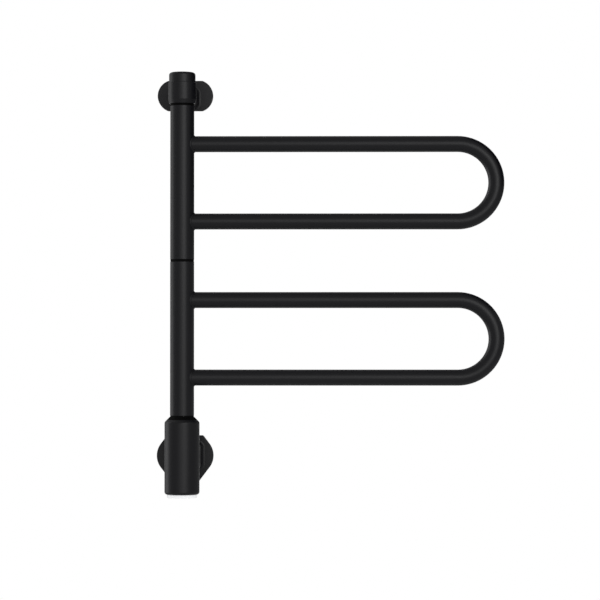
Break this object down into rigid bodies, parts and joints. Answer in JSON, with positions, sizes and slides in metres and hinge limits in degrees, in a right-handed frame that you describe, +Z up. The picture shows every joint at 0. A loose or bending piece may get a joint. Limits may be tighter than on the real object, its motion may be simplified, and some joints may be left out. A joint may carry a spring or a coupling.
{
  "type": "swivel electric towel rail",
  "caption": "Wall-mounted electric towel rail: U-shaped heated loops swivel about an upright post between a capped upper bracket and a control housing with a light ring.",
  "frame": {"origin": "middle of the lower fixing plate's two screws, on the wall face", "axes": "+Z up, the wall is the plane Y = 0 and the rail stands in -Y, +X along the loops at rest"},
  "size_m": [0.5573, 0.1197, 0.6753],
  "materials": {
    "black_coat": "satin black powder coat",
    "black_button": "fine moulded satin",
    "black_nylon": "matte moulded",
    "black_plastic": "matte moulded",
    "opal": "satin opal",
    "zinc_plate": "bright zinc plate",
    "stainless": "drawn stainless steel",
    "brass": "stamped brass",
    "rubber": "matte moulded",
    "cable_jacket": "extruded",
    "circuit_board": "solder mask",
    "capacitor_sleeve": "shrink sleeve",
    "terminal_plastic": "moulded",
    "insulation": "pressed, unglazed",
    "bush_acetal": "machined acetal"
  },
  "bodies": {
    "wall_unit": {"upper_fixing_plate": "zinc_plate", "upper_bracket": "black_coat", "upper_grub_screw": "zinc_plate", "top_cap": "black_coat", "spindle_top_nut": "zinc_plate", "top_spacer": "black_nylon", "spindle_tube": "stainless", "middle_spacer": "black_nylon", "thrust_cone": "black_nylon", "control_housing": "black_coat", "spindle_foot_nut": "zinc_plate", "earth_tag": "brass", "housing_screws": "zinc_plate", "lower_bracket": "black_coat", "lower_fixing_plate": "zinc_plate", "lower_grub_screw": "zinc_plate", "cable_grommet": "rubber", "riser_cable": "cable_jacket", "riser_grommets": "rubber", "light_ring": "opal", "base_cap": "black_plastic", "base_grub_screw": "zinc_plate", "board_pillars": "black_nylon", "ring_board": "circuit_board", "indicator_lights": "opal", "control_board": "circuit_board", "board_screws": "zinc_plate", "relay": "black_plastic", "capacitors": "capacitor_sleeve", "terminal_block": "terminal_plastic", "terminal_screws": "zinc_plate", "tact_switch": "black_plastic"},
    "lower_swivel": {"lower_post_tube": "black_coat", "lower_rail_loop": "black_coat", "lower_heating_element": "stainless", "lower_centring_discs": "insulation", "lower_post_bushes": "bush_acetal"},
    "upper_swivel": {"upper_post_tube": "black_coat", "upper_rail_loop": "black_coat", "upper_heating_element": "stainless", "upper_centring_discs": "insulation", "upper_post_bushes": "bush_acetal"},
    "button": {"power_button": "black_button", "switch_plunger": "black_plastic"}
  },
  "joints": [
    {"name": "lower_swing", "type": "hinge", "parent": "wall_unit", "child": "lower_swivel", "pos_m": [0, -0.092, 0.19], "axis": [0, 0, -1], "range_deg": [0, 180]},
    {"name": "upper_swing", "type": "hinge", "parent": "wall_unit", "child": "upper_swivel", "pos_m": [0, -0.092, 0.44], "axis": [0, 0, -1], "range_deg": [0, 180]},
    {"name": "button_press", "type": "slide", "parent": "wall_unit", "child": "button", "axis": [0, 0, 1], "range_m": [0, 0.001], "stiffness_N_per_m": 800, "springref_m": -0.001}
  ]
}
